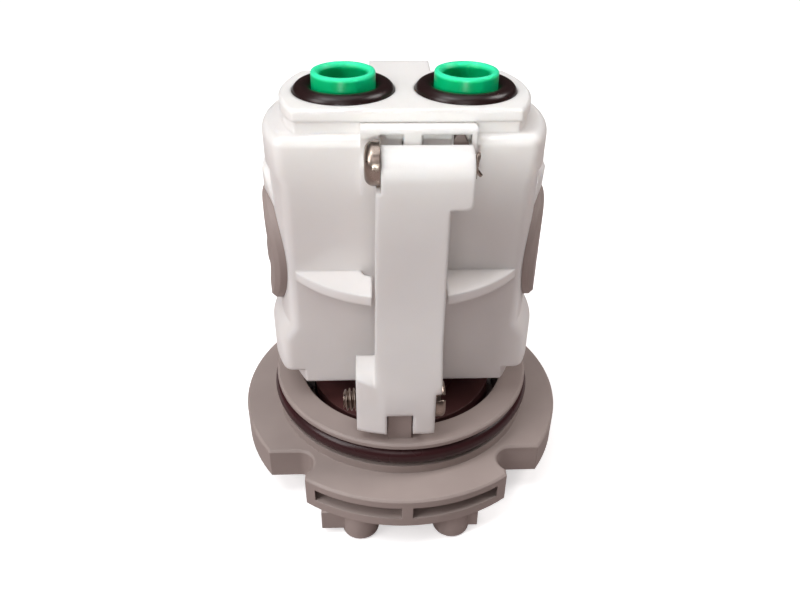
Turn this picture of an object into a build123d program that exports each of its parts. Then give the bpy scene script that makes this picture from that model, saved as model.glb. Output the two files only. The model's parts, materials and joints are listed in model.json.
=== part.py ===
from build123d import *
import math
import os

os.makedirs("parts", exist_ok=True)

# A pressure-balancing mixer cartridge. Millimetres. +Z up through the inlets, the lever faces -Y.
# The origin is on the collar's axis, in the plane of the feet. Heights with "seat" count from there.

# Base: flange, collar and feet
foot_height = 5.3
flange_thickness = 6.7
flange_radius = 32.0
front_tongue_half_width = 18.5
notch_depth = 12.9
notch_end_radius = 3.0
notch_undercut = 1.3
rim_edge = 0.4
window_skin = 1.8
window_height = 2.6
window_depth = 5.5
window_rib = 2.0
window_half_span = 16.7
collar_radius = 25.3
collar_wall = 1.9
collar_height = 7.1
lip_thickness = 1.1
groove_width = 4.2
groove_depth = 3.0
collar_ring_section = 3.5
floor_thickness = 3.5
foot_radius = 3.4
foot_x = 8.5
foot_setback = 5.0
foot_rib_reach_left = 15.7
foot_rib_reach_right = 13.3
foot_rib_drop = 3.8
foot_rib_width = 3.4
boss_radius = 9.2
boss_drop = 2.8
core_pocket_count = 8
core_pocket_depth = 2.6
core_pocket_width = 6.4
core_pocket_wall = 3.0
core_pocket_corner = 1.5

# Spindle and mixing discs
spindle_radius = 5.9
running_gap = 0.05
snug_gap = 0.02
spindle_flange_radius = 9.0
spindle_flange_thickness = 2.0
axial_gap = 0.3
drive_across = 9.0
drive_height = 3.2
socket_radius = 3.3
socket_depth = 8.5
spline_count = 10
spline_depth = 0.9
spline_width = 0.45
spindle_ring_section = 1.6
spindle_ring_setback = 3.04
circlip_thickness = 0.8
circlip_width = 1.6
circlip_opening = 3.0
carrier_gap = 0.6
swash_height = 5.4
swash_rise = 0.155
disc_radius = 10.2
moving_disc_thickness = 3.2
fixed_disc_thickness = 3.4
gasket_thickness = 1.0
disc_proud = 0.6
disc_fit = 0.1
carrier_wall = 1.4
disc_port_radius = 2.2
disc_port_offset = 5.4
moving_port_start = 35
moving_port_span = 110

# Valve housing
wall_y = 12.0
wall_corner = 2.2
band_radius = 24.9
waist_radius = 23.1
shoulder_radius = 23.7
pad_height = 63.1
band_bottom_height = 14.0
band_top_height = 20.5
waist_start_height = 23.5
waist_end_drop = 11.6
waist_end_height = pad_height - waist_end_drop
shoulder_start_drop = 10.1
shoulder_start_height = pad_height - shoulder_start_drop
shoulder_drop = 3.9
shoulder_height = pad_height - shoulder_drop
shoulder_edge = 1.7
core_radius = 21.9
core_bottom_height = 11.2
skirt_gap = 0.3
skirt_wall = 1.5
skirt_front_y = 3.0
pad_radius = 20.6
pad_half_depth = 10.4
pad_band = 1.9
pad_step = 0.4
key_left = 5.8
key_right = 5.0
key_depth = 4.2
fin_radius = 24.3
fin_centre_shift = 3.2
fin_thickness = 1.8
fin_slot_gap = 0.35
fin_slot_corner = 1.8
bracket_left = 7.3
bracket_right = 10.7
bracket_depth = 1.0
bracket_bottom_drop = 13.6
bracket_bottom_height = pad_height - bracket_bottom_drop
bracket_top_drop = 2.1
bracket_top_height = pad_height - bracket_top_drop
bracket_rib = 2.8
pocket_left = 4.3
pocket_right = 6.9
window_floor_drop = 4.9
window_floor_height = pad_height - window_floor_drop
pocket_top_drop = 3.0
pocket_top_height = pad_height - pocket_top_drop
pocket_floor_drop = 9.1
pocket_floor_height = pad_height - pocket_floor_drop
pocket_depth = 2.0
window_pocket_right = 9.8

# Balance spool
spool_height = 35.5
spool_radius = 6.96
spool_half_length = 12.5
spool_travel = 2.0
sleeve_port_radius = 1.4
sleeve_bore_radius = 7.0
sleeve_radius = 9.65
sleeve_half_length = 15.0
sleeve_fit = 0.05
cap_radius = 10.87
cap_fit = 0.08
cap_face_radius = 24.8
cap_edge = 0.7
cap_seat = 18.6
cap_plug_gap = 0.1
cap_ring_section = 1.9
cap_dish_radius = 7.5
cap_dish_depth = 1.2
cap_dish_bar = 1.6

# Inlets
port_x = 10.05
tube_radius = 5.28
tube_bore_radius = 3.85
tube_top_rise = 3.1
tube_top_height = pad_height + tube_top_rise
tube_edge = 0.7
face_ring_section = 3.2
face_ring_seat = 2.0
capsule_radius = 6.1
capsule_floor = 0.85
capsule_bottom_height = spool_height + sleeve_radius + capsule_floor
capsule_fit = 0.1
valve_seat_rise = 7.2
valve_seat_height = capsule_bottom_height + valve_seat_rise
valve_seat_radius = 2.9
valve_seat_thickness = 1.2
chamber_radius = 4.9
poppet_radius = 4.1
poppet_thickness = 1.2
poppet_stem_radius = 1.0
poppet_gap = 0.1
poppet_travel = 1.8
spider_thickness = 1.2
spider_hole_radius = 1.2
spring_wire = 0.45
check_spring_radius = 2.0
check_spring_turns = 4

# Lever and its pins
pivot_setback = 0.3
pivot_height = 14.15
pivot_radius = 2.0
lug_centre_x = -1.2
lug_width = 4.2
lug_half_depth = 2.8
fork_gap = 0.2
hub_left = -8.8
hub_right = 4.9
hub_side_height = 18.0
stem_left = -5.05
stem_left_low = -5.5
stem_right = 6.25
stem_right_low = 5.9
stem_start_height = 25.5
stem_straight_drop = 13.1
stem_straight_height = pad_height - stem_straight_drop
stem_lean = 1.2
stem_rear_low_height = 26.0
stem_rear_high_drop = 16.1
stem_rear_high_height = pad_height - stem_rear_high_drop
stem_rear_lean = 0.4
head_left = -4.3
head_right = 9.7
lever_top_round = 4.0
hub_bottom_height = 9.2
hub_front = 3.9
hub_blend = 6.0
hub_toe = 1.6
hub_toe_rise = 1.2
hub_rear = 3.5
left_block_setback = 3.2
left_block_top_height = 21.5
left_block_round = 3.4
neck_rear = 4.4
neck_height = 20.0
cheek_bottom_drop = 12.2
cheek_bottom_height = pad_height - cheek_bottom_drop
cheek_corner = 1.2
head_step_drop = 9.5
head_step_height = pad_height - head_step_drop
heel_width = 7.0
heel_reach = 7.3
heel_nose = 1.0
heel_gap = 0.15
heel_web = 5.2
heel_web_rise = 3.0
heel_room = 0.9
fork_bore_gap = 0.35
fork_slot_drop = 0.65
head_pin_reach = 4.8
head_pin_drop = 5.95
head_pin_height = pad_height - head_pin_drop
head_pin_radius = 1.15
lever_top_drop = 3.9
lever_top_height = pad_height - lever_top_drop
head_clearance = 2.8
head_depth = 5.6
dome_radius = 3.36
dome_thickness = 2.45
dome_edge = 1.45
screw_head_radius = 3.3
screw_head_thickness = 1.9
screw_head_edge = 1.0
screw_slot_width = 0.9
screw_end = -11.1
split_wire = 0.64
split_gap = 0.45
split_leg_drop = 2.1
split_eye_rise = 2.5
split_eye_half = 0.6
split_leg_spread = 0.8
split_bend = 0.35
eye_clearance = 0.2
eye_floor_gap = 0.3
buffer_gap = 0.1
buffer_corner = 0.7

# Plunger
plunger_x = 0.75
plunger_drop = 0.8
plunger_height = head_pin_height - plunger_drop
rod_radius = 1.8
tongue_width = 2.8
tongue_height = 3.5
tongue_nose = 0.5
tongue_lip_rise = 0.25
tongue_lip_height = head_pin_height + tongue_lip_rise
plunger_travel = 1.02
travel_margin = 0.3
plunger_ring_section = 0.9
plunger_head_radius = 2.9
plunger_head_thickness = 2.0
plunger_head_start = 9.9
plunger_chamber_radius = 3.25
plunger_chamber_start = 6.3
plunger_chamber_end = 13.9
plunger_spring_radius = 2.6
plunger_spring_turns = 2

# Planes and levels worked out from the sizes above
collar_inner_radius = collar_radius - groove_depth - collar_wall
skirt_radius = collar_inner_radius - skirt_gap
carrier_radius = skirt_radius - skirt_wall - carrier_gap
foot_y = flange_radius - foot_setback
bracket_front = wall_y + bracket_depth
pivot_y = -collar_inner_radius - pivot_setback
head_pin_y = -wall_y - head_pin_reach
lever_rear_top = wall_y + head_clearance
lever_front_top = lever_rear_top + head_depth
seat_z = foot_height + flange_thickness
floor_z = foot_height + floor_thickness
collar_top_z = seat_z + collar_height
groove_top_z = collar_top_z - lip_thickness
groove_mid_z = groove_top_z - groove_width / 2
groove_root_radius = collar_radius - groove_depth
spool_z = seat_z + spool_height
pad_z = seat_z + pad_height
shoulder_z = seat_z + shoulder_height
core_bottom_z = seat_z + core_bottom_height
band_bottom_z = seat_z + band_bottom_height
pivot_z = seat_z + pivot_height
head_pin_z = seat_z + head_pin_height
plunger_z = seat_z + plunger_height
fin_top_z = spool_z
tongue_x = (plunger_x - tongue_width / 2, plunger_x + tongue_width / 2)
tongue_z = (plunger_z - tongue_height / 2, plunger_z + tongue_height / 2)
eye_half = head_pin_radius + eye_clearance
eye_y = (head_pin_y - eye_half, head_pin_y + eye_half)
tongue_front = tongue_nose - eye_y[0]
notch_y = flange_radius - notch_depth
notch_end_x = front_tongue_half_width - notch_undercut + notch_end_radius
notch_end_y = notch_y + notch_end_radius
notch_mouth_y = notch_end_y + math.sqrt(notch_end_radius**2 - (notch_end_radius - notch_undercut) ** 2)
cut_margin = 1.0


def cross_bore(radius, start, end, y, z):
    """A round bar along X, kept apart from the part that it cuts."""
    plane = Plane(origin=(start, y, z), x_dir=(0, 1, 0), z_dir=(1, 0, 0))
    with BuildPart(mode=Mode.PRIVATE) as bar:
        with BuildSketch(plane):
            Circle(radius)
        extrude(amount=end - start)
    return bar.part


def depth_bore(radius, start, end, x, z):
    """A round bar along Y, from y = start to y = end."""
    plane = Plane(origin=(x, start, z), x_dir=(1, 0, 0), z_dir=(0, 1, 0))
    with BuildPart(mode=Mode.PRIVATE) as bar:
        with BuildSketch(plane):
            Circle(radius)
        extrude(amount=end - start)
    return bar.part


def block(x_range, y_range, z_range):
    """A plain block between two corners, kept apart from the part that it joins or cuts."""
    size = (x_range[1] - x_range[0], y_range[1] - y_range[0], z_range[1] - z_range[0])
    corner = Pos(x_range[0], y_range[0], z_range[0])
    return corner * Box(*size, align=(Align.MIN, Align.MIN, Align.MIN), mode=Mode.PRIVATE)


def wedge(corners, y_range):
    """A flat-sided block along Y, from its corners in the XZ plane."""
    with BuildPart(mode=Mode.PRIVATE) as piece:
        with BuildSketch(Plane.XZ.offset(-y_range[1])):
            with BuildLine():
                Polyline(*corners, close=True)
            make_face()
        extrude(amount=y_range[1] - y_range[0])
    return piece.part


def ring(major_radius, section, z):
    """A round-section seal lying flat."""
    return Pos(0, 0, z) * Torus(major_radius, section / 2, mode=Mode.PRIVATE)


# Base, moulded in one with its collar, lug and feet
with BuildPart() as flange_base:
    with BuildSketch(Plane.XY.offset(foot_height)):
        Circle(flange_radius)
        for side in (-1, 1):
            with Locations((side * notch_end_x, -notch_end_y)):
                Circle(notch_end_radius, mode=Mode.SUBTRACT)
            with Locations((side * (notch_end_x + flange_radius / 2), -notch_y - flange_radius / 2)):
                Rectangle(flange_radius, flange_radius, mode=Mode.SUBTRACT)
            mouth_x = side * (front_tongue_half_width + flange_radius / 2)
            with Locations((mouth_x, -notch_mouth_y - flange_radius / 2)):
                Rectangle(flange_radius, flange_radius, mode=Mode.SUBTRACT)
    extrude(amount=flange_thickness)
    chamfer(flange_base.edges().group_by(Axis.Z)[-1], rim_edge)
    chamfer(flange_base.edges().group_by(Axis.Z)[0], rim_edge)

    # two windows in the front rim, either side of a rib
    window_z = seat_z - window_skin - window_height
    with BuildSketch(Plane.XY.offset(window_z)):
        Circle(flange_radius + cut_margin)
        Circle(flange_radius - window_depth, mode=Mode.SUBTRACT)
        with Locations((0, -flange_radius)):
            Rectangle(2 * window_half_span, flange_radius, mode=Mode.INTERSECT)
            Rectangle(window_rib, flange_radius, mode=Mode.SUBTRACT)
    extrude(amount=window_height, mode=Mode.SUBTRACT)

    # collar with its ring groove, and the cup inside it
    with BuildSketch(Plane.XY.offset(seat_z)):
        Circle(collar_radius)
    extrude(amount=collar_height)
    chamfer(flange_base.edges().group_by(Axis.Z)[-1], rim_edge)
    with BuildSketch(Plane.XY.offset(groove_top_z - groove_width)):
        Circle(collar_radius + cut_margin)
        Circle(groove_root_radius, mode=Mode.SUBTRACT)
    extrude(amount=groove_width, mode=Mode.SUBTRACT)
    with BuildSketch(Plane.XY.offset(floor_z)):
        Circle(collar_inner_radius)
    extrude(amount=collar_top_z - floor_z, mode=Mode.SUBTRACT)

    # boss and bore for the spindle
    with BuildSketch(Plane.XY.offset(foot_height - boss_drop)):
        Circle(boss_radius)
    extrude(amount=boss_drop + floor_thickness)
    with BuildSketch(Plane.XY):
        Circle(spindle_radius + running_gap)
    extrude(amount=floor_z, mode=Mode.SUBTRACT)

    # feet, each with a low rib towards the rim's side
    with BuildSketch(Plane.XY):
        with GridLocations(2 * foot_x, 2 * foot_y, 2, 2):
            Circle(foot_radius)
    extrude(amount=foot_height + rim_edge)
    chamfer(flange_base.edges().group_by(Axis.Z)[0], rim_edge)
    with BuildSketch(Plane.XY.offset(foot_height - foot_rib_drop)):
        for side, reach in ((-1, foot_rib_reach_left), (1, foot_rib_reach_right)):
            with GridLocations(0, 2 * foot_y, 1, 2):
                with Locations((side * (foot_x + reach) / 2, 0)):
                    Rectangle(reach - foot_x, foot_rib_width)
    extrude(amount=foot_rib_drop + rim_edge)

    # pockets that core out the underside, between ribs
    with BuildSketch(Plane.XY.offset(foot_height)):
        pocket_length = foot_y - foot_radius - boss_radius - core_pocket_wall
        with PolarLocations((boss_radius + foot_y - foot_radius) / 2, core_pocket_count, 180 / core_pocket_count):
            RectangleRounded(pocket_length, core_pocket_width, core_pocket_corner)
    extrude(amount=core_pocket_depth, mode=Mode.SUBTRACT)

    # pivot lug on the collar's front, rounded over the screw
    lug_x = (lug_centre_x - lug_width / 2, lug_centre_x + lug_width / 2)
    lug_y = (pivot_y - lug_half_depth, pivot_y + lug_half_depth)
    add(block(lug_x, lug_y, (groove_top_z, pivot_z)))
    add(cross_bore(lug_half_depth, lug_x[0], lug_x[1], pivot_y, pivot_z))
    add(cross_bore(pivot_radius + running_gap, lug_x[0], lug_x[1], pivot_y, pivot_z), mode=Mode.SUBTRACT)
flange_base.part.label = "flange_base"

with BuildPart() as collar_o_ring:
    add(ring(groove_root_radius + running_gap + collar_ring_section / 2, collar_ring_section, groove_mid_z))
collar_o_ring.part.label = "collar_o_ring"

# Housing: round sides between two flat walls, in at the waist
shoulder_start_z = seat_z + shoulder_start_height
cap_bore_radius = cap_radius + cap_fit
spool_bore_radius = sleeve_radius + sleeve_fit
port_pocket_radius = capsule_radius + capsule_fit
capsule_bottom_z = seat_z + capsule_bottom_height
face_seat_z = pad_z - face_ring_seat
face_ring_radius = tube_radius + face_ring_section
disc_recess_z = core_bottom_z - disc_proud + fixed_disc_thickness + gasket_thickness
rod_start_y = -bracket_front + pocket_depth
rod_slot_end = rod_start_y + plunger_travel + travel_margin

with BuildPart() as valve_housing:
    outline = (
        (band_bottom_z, band_radius),
        (seat_z + band_top_height, band_radius),
        (seat_z + waist_start_height, waist_radius),
        (seat_z + waist_end_height, waist_radius),
        (seat_z + shoulder_start_height, shoulder_radius),
        (shoulder_z, shoulder_radius),
    )
    for level, radius in outline:
        with BuildSketch(Plane.XY.offset(level)) as section:
            Circle(radius)
            Rectangle(2 * radius, 2 * wall_y, mode=Mode.INTERSECT)
            fillet(section.vertices(), wall_corner)
    loft(ruled=True)
    fillet(valve_housing.edges().group_by(Axis.Z)[-1], shoulder_edge)

    # core that reaches down over the collar, and the skirt that stands in its cup
    with BuildSketch(Plane.XY.offset(core_bottom_z)):
        Circle(core_radius)
        Rectangle(2 * core_radius, 2 * wall_y, mode=Mode.INTERSECT)
    extrude(amount=band_bottom_z - core_bottom_z)
    with BuildSketch(Plane.XY.offset(floor_z)):
        Circle(skirt_radius)
        Circle(skirt_radius - skirt_wall, mode=Mode.SUBTRACT)
        with Locations((0, skirt_front_y + skirt_radius)):
            Rectangle(2 * skirt_radius, 2 * skirt_radius, mode=Mode.INTERSECT)
    extrude(amount=band_bottom_z - floor_z)

    # inlet pad, a plate on a slightly smaller block
    with BuildSketch(Plane.XY.offset(shoulder_z - shoulder_edge)):
        Circle(pad_radius - pad_step)
        Rectangle(2 * pad_radius, 2 * (pad_half_depth - pad_step), mode=Mode.INTERSECT)
    extrude(amount=pad_height - shoulder_height + shoulder_edge)
    with BuildSketch(Plane.XY.offset(pad_z - pad_band)):
        Circle(pad_radius)
        Rectangle(2 * pad_radius, 2 * pad_half_depth, mode=Mode.INTERSECT)
    extrude(amount=pad_band)
    chamfer(valve_housing.edges().group_by(Axis.Z)[-1], rim_edge)

    # rear key, from the band up to the pad
    key_y = wall_y + key_depth
    add(block((-key_left, key_right), (0, key_y), (band_bottom_z, pad_z)))

    # fin round the waist at the height of the spool, slotted for the lever
    with BuildSketch(Plane.XY.offset(fin_top_z - fin_thickness)):
        with Locations((0, fin_centre_shift)):
            Circle(fin_radius)
        with Locations((0, -fin_centre_shift)):
            Circle(fin_radius, mode=Mode.INTERSECT)
        with Locations(((stem_left_low + stem_right) / 2, -wall_y - flange_radius / 2 - fin_slot_gap)):
            Rectangle(
                stem_right - stem_left_low + 2 * fin_slot_gap,
                flange_radius,
                mode=Mode.SUBTRACT,
            )
        with Locations((stem_left_low - fin_slot_gap, -wall_y)):
            Circle(fin_slot_corner, mode=Mode.SUBTRACT)
    extrude(amount=fin_thickness)

    # bracket behind the lever's head
    with BuildSketch(Plane.YZ.offset(-bracket_left)):
        with BuildLine():
            Polyline(
                (-pad_half_depth + pad_step, seat_z + bracket_bottom_height),
                (-wall_y, seat_z + bracket_bottom_height),
                (-bracket_front, seat_z + bracket_bottom_height + 2 * (bracket_front - wall_y)),
                (-bracket_front, seat_z + bracket_top_height - pad_step),
                (-bracket_front + pad_step, seat_z + bracket_top_height),
                (-pad_half_depth + pad_step, seat_z + bracket_top_height),
                close=True,
            )
        make_face()
    extrude(amount=bracket_left + bracket_right)
    pocket_z = (seat_z + pocket_floor_height, seat_z + pocket_top_height)
    pocket_y = (-bracket_front - cut_margin, -bracket_front + pocket_depth)
    rib_x = (plunger_x - bracket_rib / 2, plunger_x + bracket_rib / 2)
    add(block((-pocket_left, rib_x[0]), pocket_y, pocket_z), mode=Mode.SUBTRACT)
    add(block((rib_x[1], pocket_right), pocket_y, pocket_z), mode=Mode.SUBTRACT)
    window_x = (pocket_right + running_gap, window_pocket_right)
    window_z_range = (seat_z + window_floor_height, pocket_z[1])
    add(block(window_x, pocket_y, window_z_range), mode=Mode.SUBTRACT)

    # relief in the bracket for the pin's domed head, as far as the lever rocks
    relief_y = head_pin_y + plunger_travel
    relief_start_x = -bracket_left - cut_margin
    relief_radius = dome_radius + travel_margin
    add(cross_bore(relief_radius, relief_start_x, -pocket_left, relief_y, head_pin_z), mode=Mode.SUBTRACT)

    # room for the plunger: a slot for its tongue, the rod's bore and the rear chamber
    tongue_room_x = (tongue_x[0] - fork_gap, tongue_x[1] + fork_gap)
    tongue_room_z = (tongue_z[0] - fork_gap, tongue_z[1] + fork_gap)
    tongue_room_y = (-bracket_front - cut_margin, rod_slot_end)
    add(block(tongue_room_x, tongue_room_y, tongue_room_z), mode=Mode.SUBTRACT)
    rod_bore = rod_radius + running_gap
    add(depth_bore(rod_bore, -wall_y, plunger_chamber_start, plunger_x, plunger_z), mode=Mode.SUBTRACT)
    add(
        depth_bore(plunger_chamber_radius, plunger_chamber_start, key_y, plunger_x, plunger_z),
        mode=Mode.SUBTRACT,
    )

    # cross bore for the sleeve, opened out for the caps
    add(cross_bore(spool_bore_radius, -cap_seat, cap_seat, 0, spool_z), mode=Mode.SUBTRACT)
    for side in (-1, 1):
        low, high = sorted((side * cap_seat, side * flange_radius))
        add(cross_bore(cap_bore_radius, low, high, 0, spool_z), mode=Mode.SUBTRACT)

    # inlets down to the sleeve, and outlets from the sleeve to the discs
    with BuildSketch(Plane.XY.offset(face_seat_z)):
        with GridLocations(2 * port_x, 0, 2, 1):
            Circle(face_ring_radius + running_gap)
    extrude(amount=face_ring_seat, mode=Mode.SUBTRACT)
    with BuildSketch(Plane.XY.offset(capsule_bottom_z)):
        with GridLocations(2 * port_x, 0, 2, 1):
            Circle(port_pocket_radius)
    extrude(amount=face_seat_z - capsule_bottom_z, mode=Mode.SUBTRACT)
    with BuildSketch(Plane.XY.offset(spool_z)):
        with GridLocations(2 * port_x, 0, 2, 1):
            Circle(tube_bore_radius)
    extrude(amount=capsule_bottom_z - spool_z, mode=Mode.SUBTRACT)
    with BuildSketch(Plane.XY.offset(core_bottom_z)):
        Circle(disc_radius + disc_fit)
    extrude(amount=disc_recess_z - core_bottom_z, mode=Mode.SUBTRACT)
    with BuildSketch(Plane.XY.offset(disc_recess_z)):
        with GridLocations(2 * disc_port_offset, 0, 2, 1):
            Circle(disc_port_radius)
    extrude(amount=spool_z - disc_recess_z, mode=Mode.SUBTRACT)

    # mixed water leaves through the rear wall, above the collar's ring
    outlet_z = disc_recess_z + 2 * disc_port_radius
    with BuildSketch(Plane.XY.offset(disc_recess_z)):
        with Locations((0, disc_port_offset)):
            Circle(disc_port_radius)
    extrude(amount=outlet_z - disc_recess_z, mode=Mode.SUBTRACT)
    add(depth_bore(disc_port_radius, disc_port_offset, key_y, 0, outlet_z), mode=Mode.SUBTRACT)
valve_housing.part.label = "valve_housing"

# Inlet capsules, their rings and check valves
capsule_top_z = seat_z + tube_top_height
valve_seat_z = seat_z + valve_seat_height
poppet_top_z = valve_seat_z - valve_seat_thickness - poppet_gap
spider_top_z = capsule_bottom_z + spider_thickness
stem_end_z = capsule_bottom_z + poppet_gap


def inlet_capsule(x):
    with BuildPart() as capsule:
        with BuildSketch(Plane.XY.offset(capsule_bottom_z)):
            with Locations((x, 0)):
                Circle(capsule_radius)
        extrude(amount=face_seat_z - capsule_bottom_z)
        with BuildSketch(Plane.XY.offset(face_seat_z)):
            with Locations((x, 0)):
                Circle(tube_radius)
        extrude(amount=capsule_top_z - face_seat_z)
        with BuildSketch(Plane.XY.offset(valve_seat_z)):
            with Locations((x, 0)):
                Circle(tube_bore_radius)
        extrude(amount=capsule_top_z - valve_seat_z, mode=Mode.SUBTRACT)
        rim = capsule.edges().group_by(Axis.Z)[-1]
        chamfer(rim.sort_by(SortBy.RADIUS)[0], tube_edge)
        fillet(capsule.edges().group_by(Axis.Z)[-1].sort_by(SortBy.RADIUS)[-1], tube_edge / 2)
        with BuildSketch(Plane.XY.offset(spider_top_z)):
            with Locations((x, 0)):
                Circle(valve_seat_radius)
        extrude(amount=valve_seat_z - spider_top_z, mode=Mode.SUBTRACT)
        with BuildSketch(Plane.XY.offset(spider_top_z)):
            with Locations((x, 0)):
                Circle(chamber_radius)
        extrude(amount=valve_seat_z - valve_seat_thickness - spider_top_z, mode=Mode.SUBTRACT)
        with BuildSketch(Plane.XY.offset(capsule_bottom_z)):
            with Locations((x, 0)):
                Circle(poppet_stem_radius + running_gap)
                with PolarLocations((poppet_stem_radius + chamber_radius) / 2, 6):
                    Circle(spider_hole_radius)
        extrude(amount=spider_thickness, mode=Mode.SUBTRACT)
    return capsule.part


def face_ring(x):
    middle_z = face_seat_z + face_ring_section / 2
    return Pos(x, 0, 0) * ring(tube_radius + face_ring_section / 2, face_ring_section, middle_z)


def check_poppet(x):
    with BuildPart() as poppet:
        with BuildSketch(Plane.XY.offset(poppet_top_z - poppet_thickness)):
            with Locations((x, 0)):
                Circle(poppet_radius)
        extrude(amount=poppet_thickness)
        chamfer(poppet.edges().group_by(Axis.Z)[-1], poppet_thickness / 3)
        with BuildSketch(Plane.XY.offset(stem_end_z)):
            with Locations((x, 0)):
                Circle(poppet_stem_radius)
        extrude(amount=poppet_top_z - poppet_thickness - stem_end_z)
    return poppet.part


def coil(plane, radius, length, turns, wire):
    """A round-wire coil spring that stands on a plane."""
    with BuildPart() as spring:
        with BuildLine():
            path = Helix(pitch=length / turns, height=length, radius=radius)
        with BuildSketch(Plane(origin=path @ 0, z_dir=path % 0)):
            Circle(wire / 2)
        sweep(path=path, is_frenet=True)
    return plane.location * spring.part


check_spring_base = spider_top_z + spring_wire
check_spring_length = poppet_top_z - poppet_thickness - check_spring_base - spring_wire

inlet_pieces = {}
for side_name, side_x in (("left", -port_x), ("right", port_x)):
    capsule_piece = inlet_capsule(side_x)
    capsule_piece.label = side_name + "_inlet_capsule"
    ring_piece = face_ring(side_x)
    ring_piece.label = side_name + "_inlet_o_ring"
    poppet_piece = check_poppet(side_x)
    poppet_piece.label = side_name + "_check_poppet"
    spring_plane = Plane.XY.offset(check_spring_base).move(Location((side_x, 0, 0)))
    spring_piece = coil(spring_plane, check_spring_radius, check_spring_length, check_spring_turns, spring_wire)
    spring_piece.label = side_name + "_check_spring"
    for piece in (capsule_piece, ring_piece, poppet_piece, spring_piece):
        inlet_pieces[piece.label] = piece

# Balance spool in its ported sleeve
with BuildPart() as spool_sleeve:
    add(cross_bore(sleeve_radius, -sleeve_half_length, sleeve_half_length, 0, spool_z))
    add(cross_bore(sleeve_bore_radius, -sleeve_half_length, sleeve_half_length, 0, spool_z), mode=Mode.SUBTRACT)
    for port in (-port_x, -disc_port_offset, disc_port_offset, port_x):
        groove = cross_bore(sleeve_radius + 1, port - spool_travel, port + spool_travel, 0, spool_z)
        keep = cross_bore(sleeve_radius - 1, port - spool_travel, port + spool_travel, 0, spool_z)
        add(groove - keep, mode=Mode.SUBTRACT)
        with BuildSketch(Plane.XY.offset(spool_z - sleeve_radius)):
            with Locations((port, 0)):
                Circle(sleeve_port_radius)
        extrude(amount=2 * sleeve_radius, mode=Mode.SUBTRACT)
spool_sleeve.part.label = "spool_sleeve"

with BuildPart() as balance_spool:
    add(cross_bore(spool_radius, -spool_half_length, spool_half_length, 0, spool_z))
    for port in (-port_x + spool_travel, port_x - spool_travel):
        groove = cross_bore(spool_radius + 1, port - 1.5 * spool_travel, port + spool_travel, 0, spool_z)
        keep = cross_bore(spool_radius - 2, port - 1.5 * spool_travel, port + spool_travel, 0, spool_z)
        add(groove - keep, mode=Mode.SUBTRACT)
    chamfer(balance_spool.edges().group_by(Axis.X)[0], rim_edge)
    chamfer(balance_spool.edges().group_by(Axis.X)[-1], rim_edge)
balance_spool.part.label = "balance_spool"

# Caps: a grey disc with a ringed plug that closes the bore
cap_plug_start = sleeve_half_length + cap_plug_gap
cap_ring_x = (cap_plug_start + cap_seat) / 2


def spool_cap(side):
    plane = Plane(origin=(side * cap_plug_start, 0, spool_z), x_dir=(0, 1, 0), z_dir=(side, 0, 0))
    with BuildPart() as cap:
        with BuildSketch(plane):
            Circle(sleeve_radius)
        extrude(amount=cap_seat - cap_plug_start + cap_plug_gap)
        with BuildSketch(plane.offset(cap_seat - cap_plug_start + cap_plug_gap)):
            Circle(cap_radius)
        extrude(amount=flange_radius - cap_seat - cap_plug_gap)
        with BuildSketch(Plane.XY):
            Circle(cap_face_radius)
        extrude(amount=pad_z, mode=Mode.INTERSECT)
        outer_edges = cap.faces().sort_by(Axis.X)[0 if side < 0 else -1].edges()
        chamfer(outer_edges, cap_edge)
        with BuildSketch(plane):
            Circle(sleeve_bore_radius)
        extrude(amount=cap_seat - cap_plug_start, mode=Mode.SUBTRACT)
        with BuildSketch(plane.offset(cap_face_radius - cap_plug_start - cap_dish_depth)):
            Circle(cap_dish_radius)
            Rectangle(2 * cap_dish_radius, cap_dish_bar, mode=Mode.SUBTRACT)
        extrude(amount=cap_dish_depth, mode=Mode.SUBTRACT)
        with BuildSketch(plane.offset(cap_ring_x - cap_plug_start - cap_ring_section / 2)):
            Circle(sleeve_radius + 1)
            Circle(spool_bore_radius - cap_ring_section, mode=Mode.SUBTRACT)
        extrude(amount=cap_ring_section, mode=Mode.SUBTRACT)
    return cap.part


def cap_ring(side):
    seal = Torus(spool_bore_radius - cap_ring_section / 2, cap_ring_section / 2 - snug_gap, mode=Mode.PRIVATE)
    return Pos(side * cap_ring_x, 0, spool_z) * Rot(0, 90, 0) * seal


cap_pieces = {}
for side_name, side in (("left", -1), ("right", 1)):
    cap_piece = spool_cap(side)
    cap_piece.label = side_name + "_spool_cap"
    cap_pieces[cap_piece.label] = cap_piece
    seal_piece = cap_ring(side)
    seal_piece.label = side_name + "_cap_o_ring"
    cap_pieces[seal_piece.label] = seal_piece

# Mixing discs, gasket and the carrier with its swash face
fixed_disc_z = core_bottom_z - disc_proud
moving_disc_z = fixed_disc_z - moving_disc_thickness
spindle_flange_z = floor_z + axial_gap
carrier_z = spindle_flange_z + spindle_flange_thickness
swash_z = seat_z + swash_height
heel_radius = -pivot_y - (hub_rear + heel_reach) / 2


def port_disc(z, thickness, radius):
    with BuildPart() as disc:
        with BuildSketch(Plane.XY.offset(z)):
            Circle(radius)
            with GridLocations(2 * disc_port_offset, 0, 2, 1):
                Circle(disc_port_radius, mode=Mode.SUBTRACT)
            with Locations((0, disc_port_offset)):
                Circle(disc_port_radius, mode=Mode.SUBTRACT)
        extrude(amount=thickness)
    return disc.part


fixed_disc = port_disc(fixed_disc_z, fixed_disc_thickness, disc_radius)
fixed_disc.label = "fixed_disc"
disc_gasket = port_disc(fixed_disc_z + fixed_disc_thickness, gasket_thickness, disc_radius)
disc_gasket.label = "disc_gasket"

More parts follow.
